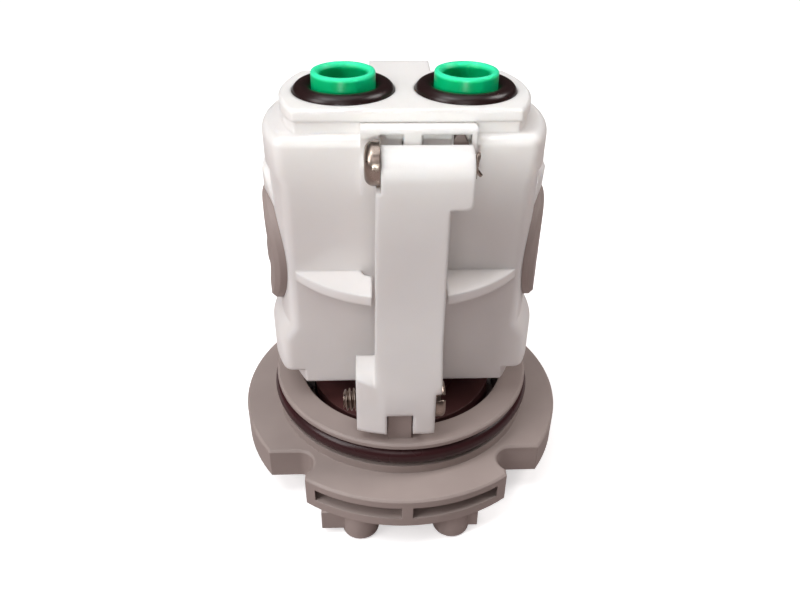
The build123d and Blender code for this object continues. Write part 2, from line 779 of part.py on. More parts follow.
with BuildPart() as moving_disc:
    with BuildSketch(Plane.XY.offset(moving_disc_z)):
        Circle(disc_radius - disc_fit)
    extrude(amount=moving_disc_thickness)
    with BuildSketch(Plane.XY.offset(fixed_disc_z - moving_disc_thickness / 2)):
        SlotArc(
            CenterArc((0, 0), disc_port_offset, moving_port_start, moving_port_span),
            2 * disc_port_radius,
        )
    extrude(amount=moving_disc_thickness / 2, mode=Mode.SUBTRACT)
moving_disc.part.label = "moving_disc"

with BuildPart() as disc_carrier:
    with BuildSketch(Plane.XY.offset(carrier_z)):
        Circle(carrier_radius)
    extrude(amount=swash_z + 2 * swash_rise - carrier_z)
    swash_tilt = math.degrees(math.atan(swash_rise / heel_radius))
    swash_plane = Plane.XY.offset(swash_z).rotated((0, -swash_tilt, 0))
    split(bisect_by=swash_plane, keep=Keep.BOTTOM)
    with BuildSketch(Plane.XY.offset(carrier_z)):
        Circle(disc_radius + carrier_wall)
    extrude(amount=moving_disc_z + moving_disc_thickness / 2 - carrier_z)
    with BuildSketch(Plane.XY.offset(moving_disc_z)):
        Circle(disc_radius)
    extrude(amount=moving_disc_thickness, mode=Mode.SUBTRACT)
    with BuildSketch(Plane.XY.offset(carrier_z)):
        Rectangle(drive_across, drive_across)
    extrude(amount=drive_height, mode=Mode.SUBTRACT)
disc_carrier.part.label = "disc_carrier"

# Spindle with a splined socket for the handle's stem
spindle_bottom_z = foot_height - boss_drop - 2 * circlip_thickness
circlip_z = foot_height - boss_drop - circlip_thickness - running_gap
spindle_grooves = (floor_z - spindle_ring_setback, foot_height - boss_drop + spindle_ring_section)

with BuildPart() as spindle:
    with BuildSketch(Plane.XY.offset(spindle_bottom_z)):
        Circle(spindle_radius)
    extrude(amount=spindle_flange_z - spindle_bottom_z)
    with BuildSketch(Plane.XY.offset(spindle_flange_z)):
        Circle(spindle_flange_radius)
    extrude(amount=spindle_flange_thickness)
    with BuildSketch(Plane.XY.offset(carrier_z)):
        Rectangle(drive_across - running_gap, drive_across - running_gap)
    extrude(amount=drive_height - running_gap)
    with BuildSketch(Plane.XY.offset(spindle_bottom_z)):
        Circle(socket_radius)
    extrude(amount=socket_depth, mode=Mode.SUBTRACT)
    with BuildSketch(Plane.XY.offset(spindle_bottom_z)):
        with PolarLocations(socket_radius, spline_count):
            Rectangle(spline_depth, spline_width)
    extrude(amount=socket_depth, mode=Mode.SUBTRACT)
    for groove_z in spindle_grooves:
        with BuildSketch(Plane.XY.offset(groove_z)):
            Circle(spindle_radius + 1)
            Circle(spindle_radius + running_gap - spindle_ring_section, mode=Mode.SUBTRACT)
        extrude(amount=spindle_ring_section, mode=Mode.SUBTRACT)
    with BuildSketch(Plane.XY.offset(circlip_z)):
        Circle(spindle_radius + 1)
        Circle(spindle_radius - circlip_thickness, mode=Mode.SUBTRACT)
    extrude(amount=circlip_thickness, mode=Mode.SUBTRACT)
spindle.part.label = "spindle"

with BuildPart() as spindle_o_rings:
    for groove_z in spindle_grooves:
        middle_z = groove_z + spindle_ring_section / 2
        ring_radius = spindle_radius + running_gap - spindle_ring_section / 2 - snug_gap
        add(ring(ring_radius, spindle_ring_section - 2 * snug_gap, middle_z))
spindle_o_rings.part.label = "spindle_o_rings"

with BuildPart() as spindle_circlip:
    with BuildSketch(Plane.XY.offset(circlip_z)):
        Circle(spindle_radius + circlip_width)
        Circle(spindle_radius - circlip_thickness + snug_gap, mode=Mode.SUBTRACT)
        with Locations((0, spindle_radius)):
            Rectangle(circlip_opening, 2 * spindle_radius, mode=Mode.SUBTRACT)
    extrude(amount=circlip_thickness)
spindle_circlip.part.label = "spindle_circlip"

# Lever: side outline in the YZ plane, given its widths by blocks
heel_z = swash_z + heel_gap
lever_top_z = seat_z + lever_top_height
hub_bottom_z = seat_z + hub_bottom_height
stem_start_z = seat_z + stem_start_height
hub_front_y = pivot_y - hub_front
hub_rear_y = pivot_y + hub_rear
heel_rear_y = pivot_y + heel_reach
left_block_rear_y = pivot_y + left_block_setback
left_block_top_z = seat_z + left_block_top_height
far = 2 * lever_top_z
fork_x = (lug_x[0] - fork_gap, lug_x[1] + fork_gap)
below_stem_z = seat_z + hub_side_height
with BuildPart() as lever_arm:
    with BuildSketch(Plane.YZ.offset(stem_left_low)):
        with BuildLine():
            Polyline(
                (-lever_front_top, lever_top_z - lever_top_round),
                (-lever_front_top, seat_z + stem_straight_height),
                (-lever_front_top - stem_lean, stem_start_z),
                (hub_front_y, stem_start_z - hub_blend),
                (hub_front_y, hub_bottom_z),
                (pivot_y + hub_toe, hub_bottom_z),
                (hub_rear_y, hub_bottom_z - hub_toe_rise),
                (hub_rear_y, heel_z + heel_nose),
                (hub_rear_y + heel_nose, heel_z),
                (heel_rear_y - heel_nose, heel_z),
                (heel_rear_y, heel_z + heel_nose),
                (heel_rear_y, core_bottom_z - heel_room),
                (pivot_y + heel_web, core_bottom_z + heel_web_rise),
                (pivot_y + neck_rear, seat_z + neck_height),
                (-lever_rear_top - stem_rear_lean, seat_z + stem_rear_low_height),
                (-lever_rear_top, seat_z + stem_rear_high_height),
                (-lever_rear_top, lever_top_z),
                (-lever_front_top + lever_top_round, lever_top_z),
            )
            RadiusArc(
                (-lever_front_top + lever_top_round, lever_top_z),
                (-lever_front_top, lever_top_z - lever_top_round),
                -lever_top_round,
            )
        make_face()
    extrude(amount=head_right - stem_left_low)

    # block on the left of the hub, rounded over its front
    with BuildSketch(Plane.YZ.offset(hub_left)):
        with BuildLine():
            Polyline(
                (hub_front_y, left_block_top_z - left_block_round),
                (hub_front_y, hub_bottom_z),
                (left_block_rear_y, hub_bottom_z),
                (left_block_rear_y, left_block_top_z),
                (hub_front_y + left_block_round, left_block_top_z),
            )
            RadiusArc(
                (hub_front_y + left_block_round, left_block_top_z),
                (hub_front_y, left_block_top_z - left_block_round),
                -left_block_round,
            )
        make_face()
    extrude(amount=stem_left_low - hub_left)

    # trim the widths: head, stem, hub and heel
    head_step_z = seat_z + head_step_height
    cheek_z = seat_z + cheek_bottom_height
    add(block((-far, head_left), (-far, 0), (head_step_z, far)), mode=Mode.SUBTRACT)
    left_taper = (
        (-far, left_block_top_z),
        (stem_left_low, left_block_top_z),
        (stem_left, head_step_z),
        (-far, head_step_z),
    )
    add(wedge(left_taper, (-far, 0)), mode=Mode.SUBTRACT)
    right_taper = (
        (stem_right_low, 0),
        (stem_right_low, below_stem_z),
        (stem_right, cheek_z),
        (far, cheek_z),
        (far, 0),
    )
    add(wedge(right_taper, (-far, 0)), mode=Mode.SUBTRACT)
    cheek_edge = lever_arm.edges().filter_by(Axis.Y).group_by(Axis.X)[-1].sort_by(Axis.Z)[0]
    fillet(cheek_edge, cheek_corner)
    add(block((hub_right, far), (-far, 0), (0, below_stem_z)), mode=Mode.SUBTRACT)
    heel_middle = (fork_x[0] + fork_x[1]) / 2
    heel_x = (heel_middle - heel_width / 2, heel_middle + heel_width / 2)
    heel_y = (pivot_y + neck_rear, 0)
    add(block((-far, heel_x[0]), heel_y, (0, left_block_top_z)), mode=Mode.SUBTRACT)
    add(block((heel_x[1], far), heel_y, (0, left_block_top_z)), mode=Mode.SUBTRACT)
    with BuildSketch(Plane.XY):
        Circle(band_radius)
    extrude(amount=far, mode=Mode.INTERSECT)

    # fork round the lug
    fork_radius = lug_half_depth + fork_bore_gap
    add(cross_bore(fork_radius, fork_x[0], fork_x[1], pivot_y, pivot_z), mode=Mode.SUBTRACT)
    fork_front = (-far, pivot_y + fork_radius)
    add(block(fork_x, fork_front, (0, pivot_z - fork_slot_drop)), mode=Mode.SUBTRACT)
    add(block(fork_x, (pivot_y - fork_radius, pivot_y + fork_radius), (0, pivot_z)), mode=Mode.SUBTRACT)

    # pivot bores, and the pocket for the plunger's tongue
    add(cross_bore(pivot_radius + running_gap, -far, far, pivot_y, pivot_z), mode=Mode.SUBTRACT)
    add(cross_bore(head_pin_radius + running_gap, -far, far, head_pin_y, head_pin_z), mode=Mode.SUBTRACT)
    pocket_front_y = (-tongue_front - travel_margin, 0)
    lip_room_z = (tongue_z[0] - 2 * fork_gap, seat_z + tongue_lip_height + travel_margin)
    pocket_rear_y = (eye_y[1] - travel_margin, 0)
    rear_room_z = (lip_room_z[0], tongue_z[1] + 2 * fork_gap)
    add(block(tongue_room_x, pocket_front_y, lip_room_z), mode=Mode.SUBTRACT)
    add(block(tongue_room_x, pocket_rear_y, rear_room_z), mode=Mode.SUBTRACT)
lever_arm.part.label = "lever_arm"

# Upper pin: a domed head on the left, a cross hole for the split pin on the right
split_x = head_right + split_gap
pin_end = split_x + split_wire
with BuildPart() as upper_pivot_pin:
    add(cross_bore(head_pin_radius, head_left - running_gap, pin_end, head_pin_y, head_pin_z))
    dome_plane = Plane(
        origin=(head_left - running_gap, head_pin_y, head_pin_z), x_dir=(0, 1, 0), z_dir=(-1, 0, 0)
    )
    with BuildSketch(dome_plane):
        Circle(dome_radius)
    extrude(amount=dome_thickness)
    fillet(upper_pivot_pin.edges().sort_by(Axis.X)[0], dome_edge)
    with BuildSketch(Plane.XY.offset(head_pin_z - 2 * head_pin_radius)):
        with Locations((split_x, head_pin_y)):
            Circle(split_wire + running_gap)
    extrude(amount=4 * head_pin_radius, mode=Mode.SUBTRACT)
upper_pivot_pin.part.label = "upper_pivot_pin"

# Split pin: one wire, closed in an eye above and its two legs sprung apart below
with BuildPart() as split_pin:
    leg = split_wire / 2 + snug_gap
    eye_start = split_eye_rise / 2
    with BuildLine(Plane(origin=(split_x, head_pin_y, head_pin_z), x_dir=(0, 1, 0), z_dir=(1, 0, 0))) as wire:
        FilletPolyline(
            (-split_leg_spread, -split_leg_drop),
            (-leg, -eye_start),
            (-leg, eye_start),
            (-split_eye_half, split_eye_rise - split_eye_half),
            (0, split_eye_rise),
            (split_eye_half, split_eye_rise - split_eye_half),
            (leg, eye_start),
            (leg, -eye_start),
            (split_leg_spread, -split_leg_drop),
            radius=split_bend,
        )
    with BuildSketch(Plane(origin=wire.line @ 0, z_dir=wire.line % 0)):
        Circle(split_wire / 2)
    sweep(path=wire.line)
split_pin.part.label = "split_pin"

# Lower screw: slotted head on the right, its thread taken as a plain shank of the same size
with BuildPart() as lower_pivot_screw:
    add(cross_bore(pivot_radius, screw_end, hub_right + running_gap, pivot_y, pivot_z))
    head_plane = Plane(
        origin=(hub_right + running_gap, pivot_y, pivot_z), x_dir=(0, 1, 0), z_dir=(1, 0, 0)
    )
    with BuildSketch(head_plane):
        Circle(screw_head_radius)
    extrude(amount=screw_head_thickness)
    fillet(lower_pivot_screw.edges().sort_by(Axis.X)[-1], screw_head_edge)
    with BuildSketch(head_plane.offset(screw_head_thickness / 2)):
        Rectangle(4 * screw_head_radius, screw_slot_width)
    extrude(amount=screw_head_thickness, mode=Mode.SUBTRACT)
    chamfer(lower_pivot_screw.edges().sort_by(Axis.X)[0], rim_edge)
lower_pivot_screw.part.label = "lower_pivot_screw"

# Rubber stop behind the lever's right cheek, with cut upper corners
with BuildPart() as lever_buffer:
    buffer_x = (window_x[0] + running_gap, window_x[1] - running_gap)
    buffer_z = (window_z_range[0] + running_gap, window_z_range[1] - running_gap)
    buffer_y = (-bracket_front + pocket_depth - running_gap, -bracket_front - buffer_gap)
    with BuildSketch(Plane.XZ.offset(-buffer_y[0])):
        with Locations(((buffer_x[0] + buffer_x[1]) / 2, (buffer_z[0] + buffer_z[1]) / 2)):
            Rectangle(buffer_x[1] - buffer_x[0], buffer_z[1] - buffer_z[0])
    extrude(amount=buffer_y[0] - buffer_y[1])
    chamfer(lever_buffer.edges().filter_by(Axis.Y).group_by(Axis.Z)[-1], buffer_corner)
lever_buffer.part.label = "lever_buffer"

# Plunger: a tongue that hooks round the upper pin, a round rod and a head
ring_y = (rod_slot_end + plunger_chamber_start) / 2
with BuildPart() as flow_plunger:
    add(block(tongue_x, (-tongue_front, rod_start_y), tongue_z))
    lip_z = (seat_z + tongue_lip_height, far)
    add(block((-far, far), (-far, eye_y[1]), lip_z), mode=Mode.SUBTRACT)
    eye_z = (head_pin_z - head_pin_radius - eye_floor_gap, far)
    add(block((-far, far), eye_y, eye_z), mode=Mode.SUBTRACT)
    add(depth_bore(rod_radius, rod_start_y - rod_radius, plunger_head_start, plunger_x, plunger_z))
    head_end_y = plunger_head_start + plunger_head_thickness
    add(depth_bore(plunger_head_radius, plunger_head_start, head_end_y, plunger_x, plunger_z))
    groove_y = (ring_y - plunger_ring_section / 2, ring_y + plunger_ring_section / 2)
    groove_wide = depth_bore(rod_radius + 1, groove_y[0], groove_y[1], plunger_x, plunger_z)
    groove_keep = depth_bore(rod_radius - plunger_ring_section, groove_y[0], groove_y[1], plunger_x, plunger_z)
    add(groove_wide - groove_keep, mode=Mode.SUBTRACT)
flow_plunger.part.label = "flow_plunger"

with BuildPart() as plunger_o_ring:
    seal_radius = rod_radius - plunger_ring_section / 2 + running_gap / 2
    seal = Torus(seal_radius, plunger_ring_section / 2 - snug_gap / 2, mode=Mode.PRIVATE)
    add(Pos(plunger_x, ring_y, plunger_z) * Rot(90, 0, 0) * seal)
plunger_o_ring.part.label = "plunger_o_ring"

spring_start_y = plunger_chamber_start + spring_wire / 2 + running_gap
spring_length_y = plunger_head_start - plunger_travel - spring_start_y - spring_wire
spring_plane = Plane(
    origin=(plunger_x, spring_start_y, plunger_z), x_dir=(1, 0, 0), z_dir=(0, 1, 0)
)
plunger_spring = coil(spring_plane, plunger_spring_radius, spring_length_y, plunger_spring_turns, spring_wire)
plunger_spring.label = "plunger_spring"

with BuildPart() as plunger_plug:
    plug_radius = plunger_chamber_radius - running_gap
    add(depth_bore(plug_radius, plunger_chamber_end, key_y, plunger_x, plunger_z))
    with BuildSketch(Plane.XZ.offset(-key_y)):
        with Locations((plunger_x, plunger_z)):
            RegularPolygon(plug_radius / 2, 6)
    extrude(amount=(key_y - plunger_chamber_end) / 2, mode=Mode.SUBTRACT)
plunger_plug.part.label = "plunger_plug"

# Write every piece to its own file
pieces = [
    flange_base.part,
    collar_o_ring.part,
    valve_housing.part,
    spool_sleeve.part,
    balance_spool.part,
    fixed_disc,
    disc_gasket,
    moving_disc.part,
    disc_carrier.part,
    spindle.part,
    spindle_o_rings.part,
    spindle_circlip.part,
    lever_arm.part,
    upper_pivot_pin.part,
    split_pin.part,
    lower_pivot_screw.part,
    lever_buffer.part,
    flow_plunger.part,
    plunger_o_ring.part,
    plunger_spring,
    plunger_plug.part,
]
pieces += list(inlet_pieces.values())
pieces += list(cap_pieces.values())
for piece in pieces:
    export_step(piece, "parts/" + piece.label + ".step")
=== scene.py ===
import bpy
import bmesh
import json
import math
from mathutils import Matrix, Vector

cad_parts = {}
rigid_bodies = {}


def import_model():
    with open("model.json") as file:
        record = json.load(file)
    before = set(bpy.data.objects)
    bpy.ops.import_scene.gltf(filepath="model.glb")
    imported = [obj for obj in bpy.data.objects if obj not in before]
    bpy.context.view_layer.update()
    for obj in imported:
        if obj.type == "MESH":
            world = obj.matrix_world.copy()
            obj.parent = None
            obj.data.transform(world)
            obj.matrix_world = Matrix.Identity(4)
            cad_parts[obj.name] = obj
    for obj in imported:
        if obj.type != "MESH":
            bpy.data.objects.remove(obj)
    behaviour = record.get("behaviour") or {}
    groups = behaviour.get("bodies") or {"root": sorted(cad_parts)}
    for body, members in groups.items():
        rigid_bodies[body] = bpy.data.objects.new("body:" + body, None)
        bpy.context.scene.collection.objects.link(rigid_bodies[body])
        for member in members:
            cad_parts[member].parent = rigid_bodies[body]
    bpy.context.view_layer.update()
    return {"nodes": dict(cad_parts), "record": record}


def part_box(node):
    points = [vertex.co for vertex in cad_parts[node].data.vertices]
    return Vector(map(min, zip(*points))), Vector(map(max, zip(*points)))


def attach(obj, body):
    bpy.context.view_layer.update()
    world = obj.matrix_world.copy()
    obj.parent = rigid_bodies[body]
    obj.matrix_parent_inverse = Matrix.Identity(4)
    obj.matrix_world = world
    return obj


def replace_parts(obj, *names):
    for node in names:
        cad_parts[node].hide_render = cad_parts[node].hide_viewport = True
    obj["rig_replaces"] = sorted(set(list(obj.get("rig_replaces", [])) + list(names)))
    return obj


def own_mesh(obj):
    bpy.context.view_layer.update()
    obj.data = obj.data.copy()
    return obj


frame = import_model()
mm = 0.001
mergeGap = 0.002 * mm
bodies = frame["record"]["behaviour"]["bodies"]
bodyOfNode = {node: body for body, nodes in bodies.items() for node in nodes}
slotOfNode = {part["node"]: part["material_slot"] for part in frame["record"]["subparts"]}
print("model loaded:", len(bodyOfNode), "nodes")


# shader nodes that the finishes, the floor and the backdrop share
def noiseNode(tree, coords, scale, detail):
    noise = tree.nodes.new("ShaderNodeTexNoise")
    noise.inputs["Detail"].default_value = detail
    tree.links.new(coords, noise.inputs["Vector"])
    tree.links.new(scale, noise.inputs["Scale"])
    return noise.outputs["Fac"]


def setOrLink(tree, socket, value):
    if isinstance(value, bpy.types.NodeSocket):
        tree.links.new(value, socket)
    else:
        socket.default_value = value


def rangeNode(tree, source, span, result):
    ramp = tree.nodes.new("ShaderNodeMapRange")
    tree.links.new(source, ramp.inputs["Value"])
    for label, value in zip(("From Min", "From Max", "To Min", "To Max"), (*span, *result)):
        setOrLink(tree, ramp.inputs[label], value)
    return ramp.outputs["Result"]


def blendNode(tree, share, first, second):
    # first where the share is 0, second where it is 1
    blend = tree.nodes.new("ShaderNodeMix")
    blend.data_type = "RGBA"
    tree.links.new(share, blend.inputs["Factor"])
    setOrLink(tree, blend.inputs["A"], first)
    setOrLink(tree, blend.inputs["B"], second)
    return blend.outputs["Result"]


def cameraShare(tree):
    # 1 where the camera looks straight at it, 0 for light that bounces
    return tree.nodes.new("ShaderNodeLightPath").outputs["Is Camera Ray"]


skinLook = dict(cloudDetail=3, cloudSpan=(0.35, 0.7), glossSpan=(0.3, 0.7), peelDetail=2,
                inputs=[("Colour", "NodeSocketColor", (0.8, 0.8, 0.8, 1)),
                        ("Shade", "NodeSocketColor", (0.7, 0.7, 0.7, 1)),
                        ("Cloud Scale", "NodeSocketFloat", 60.0),
                        ("Peel Scale", "NodeSocketFloat", 1500.0),
                        ("Rough Low", "NodeSocketFloat", 0.3),
                        ("Rough High", "NodeSocketFloat", 0.4)],
                outputs=[("Colour", "NodeSocketColor"), ("Roughness", "NodeSocketFloat"),
                         ("Height", "NodeSocketFloat")])


def buildMouldedSkin(look):
    # soft clouding of the colour, a fine orange peel and a little uneven gloss
    group = bpy.data.node_groups.new("mouldedSkin", "ShaderNodeTree")
    for label, kind, value in look["inputs"]:
        group.interface.new_socket(name=label, in_out="INPUT", socket_type=kind).default_value = value
    for label, kind in look["outputs"]:
        group.interface.new_socket(name=label, in_out="OUTPUT", socket_type=kind)
    start = group.nodes.new("NodeGroupInput").outputs
    end = group.nodes.new("NodeGroupOutput").inputs
    coords = group.nodes.new("ShaderNodeTexCoord").outputs["Object"]
    cloud = noiseNode(group, coords, start["Cloud Scale"], look["cloudDetail"])
    peel = noiseNode(group, coords, start["Peel Scale"], look["peelDetail"])
    share = rangeNode(group, cloud, look["cloudSpan"], (0.0, 1.0))
    gloss = rangeNode(group, cloud, look["glossSpan"], (start["Rough Low"], start["Rough High"]))
    group.links.new(blendNode(group, share, start["Colour"], start["Shade"]), end["Colour"])
    group.links.new(gloss, end["Roughness"])
    group.links.new(peel, end["Height"])
    return group


mouldedSkin = buildMouldedSkin(skinLook)


def srgb(r, g, b):
    def toLinear(c):
        c = c / 255
        return c / 12.92 if c <= 0.04045 else ((c + 0.055) / 1.055) ** 2.4
    return (toLinear(r), toLinear(g), toLinear(b), 1.0)


def addPaintedHighlight(tree, colour, look):
    # painted highlight: the rim's top edge is painted a paler colour, where the top light falls on it
    coords = tree.nodes.new("ShaderNodeTexCoord").outputs["Object"]
    split = tree.nodes.new("ShaderNodeSeparateXYZ")
    tree.links.new(coords, split.inputs["Vector"])
    rise = rangeNode(tree, split.outputs["Z"], [height * mm for height in look["crownFrom"]], (0.0, 1.0))
    return blendNode(tree, rise, colour, srgb(*look["crown"]))


# what every finish has unless its own dictionary says otherwise
plainLook = dict(ior=1.5, metallic=0.0, specular=0.5, glow=0.0, glowDepth=1.0, glowRadius=(1.0, 0.9, 0.8),
                 edgeSamples=6, peelDepth=0.05)


def makeFinish(name, ownLook):
    # the skin serves plastic and rubber, and metal and ceramic with their own values
    look = dict(plainLook, **ownLook)
    material = bpy.data.materials.new(name)
    material.use_nodes = True
    tree = material.node_tree
    shader = tree.nodes["Principled BSDF"].inputs
    skin = tree.nodes.new("ShaderNodeGroup")
    skin.node_tree = mouldedSkin
    for label, value in (("Colour", srgb(*look["colour"])), ("Shade", srgb(*look["shade"])),
                         ("Cloud Scale", look["cloudScale"]), ("Peel Scale", look["peelScale"]),
                         ("Rough Low", look["rough"][0]), ("Rough High", look["rough"][1])):
        skin.inputs[label].default_value = value
    edgeRound = tree.nodes.new("ShaderNodeBevel")
    edgeRound.samples = look["edgeSamples"]
    edgeRound.inputs["Radius"].default_value = look["edgeRadius"] * mm
    bump = tree.nodes.new("ShaderNodeBump")
    bump.inputs["Strength"].default_value = look["peelStrength"]
    bump.inputs["Distance"].default_value = look["peelDepth"] * mm
    tree.links.new(skin.outputs["Height"], bump.inputs["Height"])
    tree.links.new(edgeRound.outputs["Normal"], bump.inputs["Normal"])
    tree.links.new(bump.outputs["Normal"], shader["Normal"])
    colour = skin.outputs["Colour"]
    # a painted highlight on the rim, for a finish that has one: its top edge is painted paler
    if "crown" in look:
        colour = addPaintedHighlight(tree, colour, look)
    tree.links.new(colour, shader["Base Color"])
    tree.links.new(skin.outputs["Roughness"], shader["Roughness"])
    shader["IOR"].default_value = look["ior"]
    shader["Metallic"].default_value = look["metallic"]
    shader["Specular IOR Level"].default_value = look["specular"]
    shader["Subsurface Weight"].default_value = look["glow"]
    shader["Subsurface Scale"].default_value = look["glowDepth"] * mm
    shader["Subsurface Radius"].default_value = look["glowRadius"]
    return material


whiteLook = dict(colour=(243, 240, 238), shade=(237, 233, 231), cloudScale=45, peelScale=900,
                 rough=(0.36, 0.46), edgeRadius=0.6, peelStrength=0.08, glow=0.3, glowDepth=2.0)
greyLook = dict(colour=(170, 155, 150), shade=(160, 145, 140), cloudScale=70, peelScale=1400,
                rough=(0.44, 0.56), edgeRadius=0.3, peelStrength=0.18)
# crown is a painted highlight: the tube's rim is painted a paler mint from 77.5 mm up to 77.95 mm
greenLook = dict(colour=(2, 172, 108), shade=(1, 164, 102), cloudScale=80, peelScale=1200,
                 rough=(0.26, 0.34), edgeRadius=0.2, peelStrength=0.05, specular=0.12, glow=0.5,
                 glowDepth=2.0, crown=(60, 236, 172), crownFrom=(77.5, 77.95))
ringLook = dict(colour=(62, 33, 35), shade=(52, 27, 29), cloudScale=110, peelScale=1800,
                rough=(0.24, 0.32), specular=0.32, edgeRadius=0.1, peelStrength=0.1)
rubberLook = dict(colour=(38, 22, 22), shade=(32, 18, 18), cloudScale=110, peelScale=1800,
                  rough=(0.26, 0.34), specular=0.35, edgeRadius=0.1, peelStrength=0.12)
brownLook = dict(colour=(86, 50, 49), shade=(74, 43, 42), cloudScale=80, peelScale=1400,
                 rough=(0.4, 0.55), edgeRadius=0.25, peelStrength=0.12)
steelLook = dict(colour=(168, 153, 143), shade=(136, 121, 112), cloudScale=420, peelScale=2600,
                 rough=(0.24, 0.36), edgeRadius=0.12, peelStrength=0.08, metallic=1.0)
brassLook = dict(colour=(206, 176, 112), shade=(190, 158, 98), cloudScale=200, peelScale=2600,
                 rough=(0.2, 0.34), edgeRadius=0.12, peelStrength=0.06, metallic=1.0)
ceramicLook = dict(colour=(240, 238, 232), shade=(233, 230, 224), cloudScale=90, peelScale=2500,
                   rough=(0.12, 0.2), edgeRadius=0.15, peelStrength=0.02)
paleLook = dict(colour=(222, 220, 214), shade=(212, 209, 203), cloudScale=90, peelScale=1500,
                rough=(0.35, 0.45), edgeRadius=0.15, peelStrength=0.05)
# the buffer block's dark grey-brown, darker than the white housing around it
bufferLook = dict(colour=(122, 107, 101), shade=(112, 97, 92), cloudScale=110, peelScale=1500,
                 rough=(0.5, 0.62), edgeRadius=0.2, peelStrength=0.15)

# one finish for each slot of the record, and three for single pieces
finishes = {
    "white_plastic": makeFinish("whiteNylon", whiteLook),
    "grey_plastic": makeFinish("taupeNylon", greyLook),
    "green_plastic": makeFinish("greenAcetal", greenLook),
    "black_rubber": makeFinish("sealRubber", rubberLook),
    "brown_plastic": makeFinish("darkCarrier", brownLook),
    "steel": makeFinish("platedSteel", steelLook),
    "brass": makeFinish("turnedBrass", brassLook),
    "ceramic": makeFinish("lappedCeramic", ceramicLook),
    "pale_plastic": makeFinish("palePlastic", paleLook),
    "dusty_rubber": makeFinish("dustyRubber", bufferLook),
    "worn_rubber": makeFinish("wornRubber", ringLook),
    "soft_white": makeFinish("softNylon", dict(whiteLook, edgeRadius=0.85)),
}
print("finishes made:", len(finishes))


def finishPiece(piece, body, slotName, *nodes, finish=None):
    piece.data.materials.clear()
    piece.data.materials.append(finishes[finish or slotName])
    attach(piece, body)
    if nodes:
        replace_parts(piece, *nodes)
    return piece


def newPiece(name, form, sharpAngle):
    # a finished form becomes an object, with smooth curves and crisp corners
    bmesh.ops.remove_doubles(form, verts=form.verts, dist=mergeGap)
    bmesh.ops.recalc_face_normals(form, faces=form.faces)
    for face in form.faces:
        face.smooth = True
    for edge in form.edges:
        edge.smooth = edge.calc_face_angle(0) < math.radians(sharpAngle)
    mesh = bpy.data.meshes.new(name)
    form.to_mesh(mesh)
    form.free()
    piece = bpy.data.objects.new(name, mesh)
    bpy.context.scene.collection.objects.link(piece)
    return piece


def bakedMesh(source):
    # the mesh of a curve, or of a piece with its modifiers
    bpy.context.view_layer.update()
    return bpy.data.meshes.new_from_object(source.evaluated_get(bpy.context.evaluated_depsgraph_get()))


def outlineVerts(form, points):
    return [bmesh.ops.create_vert(form, co=Vector(point) * mm)["vert"][0] for point in points]


def turned(form, outline, steps):
    # the outline, as radius and height, is spun about Z
    corners = outlineVerts(form, [(radius, 0, height) for radius, height in outline])
    edges = [form.edges.new(pair) for pair in zip(corners, corners[1:])]
    bmesh.ops.spin(form, geom=corners + edges, cent=(0, 0, 0), axis=(0, 0, 1), dvec=(0, 0, 0),
                   angle=math.tau, steps=steps, use_merge=True)


def arcPoints(centre, radius, start, stop, count):
    step = (stop - start) / count
    angles = [math.radians(start + step * i) for i in range(count + 1)]
    return [(centre[0] + radius * math.cos(angle), centre[1] + radius * math.sin(angle)) for angle in angles]


def turnToX(form, side, place):
    # an upright form is laid along X, its top facing side
    quarter = Matrix.Rotation(math.radians(90 * side), 3, "Y")
    bmesh.ops.rotate(form, verts=form.verts, cent=(0, 0, 0), matrix=quarter)
    bmesh.ops.translate(form, verts=form.verts, vec=Vector(place) * mm)


def roundEdges(form, edges, offset):
    bmesh.ops.bevel(form, geom=edges, offset=offset * mm, segments=3, profile=0.5, affect="EDGES",
                    material=-1)


def nodeBox(node):
    # a node's middle and half size in millimetres
    low, high = (Vector(corner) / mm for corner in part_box(node))
    return (low + high) / 2, (high - low) / 2


def addSeal(name, node, look):
    # a moulded ring with a fine parting line round its outside
    middle, half = nodeBox(node)
    section = half.z
    radius = half.x - section - look["flash"]
    form = bmesh.new()
    flash = [(radius + section + look["flash"], 0)]
    ring = arcPoints((radius, 0), section, look["partAngle"], 360 - look["partAngle"], look["ringSteps"])
    turned(form, flash + ring + flash, look["steps"])
    bmesh.ops.translate(form, verts=form.verts, vec=middle * mm)
    piece = newPiece(name, form, look["sharp"])
    finishPiece(piece, bodyOfNode[node], "black_rubber", node, finish=look["finish"])


sealLook = dict(flash=0.02, partAngle=4, ringSteps=36, steps=96, sharp=40, finish="black_rubber")
addSeal("collarSeal", "collar_o_ring", dict(sealLook, flash=0.012, steps=160, finish="worn_rubber"))
for sideName in ("left", "right"):
    addSeal(sideName + "FaceSeal", sideName + "_inlet_o_ring", sealLook)
print("seals turned")


def addBuffer(name, node, look):
    # a rubber block with a nicked left corner and a slanted right side
    middle, half = nodeBox(node)
    left, right, foot, crown = -half.x, half.x - look["inset"], -half.z, half.z
    nick, slant = look["nick"], look["slant"]
    corners = [(left, foot), (right, foot), (right, crown - 2 * half.z * look["slantShare"]),
               (right - slant, crown), (left + nick, crown), (left, crown - look["nickDrop"] * nick)]
    form = bmesh.new()
    front = form.faces.new(outlineVerts(form, [(x, -half.y, z) for x, z in corners]))
    grown = bmesh.ops.extrude_face_region(form, geom=[front])["geom"]
    bmesh.ops.translate(form, verts=[part for part in grown if isinstance(part, bmesh.types.BMVert)],
                        vec=(0, 2 * half.y * mm, 0))
    roundEdges(form, form.edges[:], look["soft"])
    bmesh.ops.translate(form, verts=form.verts, vec=middle * mm)
    piece = newPiece(name, form, look["sharp"])
    finishPiece(piece, bodyOfNode[node], "black_rubber", node, finish="dusty_rubber")


addBuffer("leverBuffer", "lever_buffer",
          dict(nick=0.45, nickDrop=1.8, slant=0.8, slantShare=0.92, inset=0.35, soft=0.08, sharp=20))


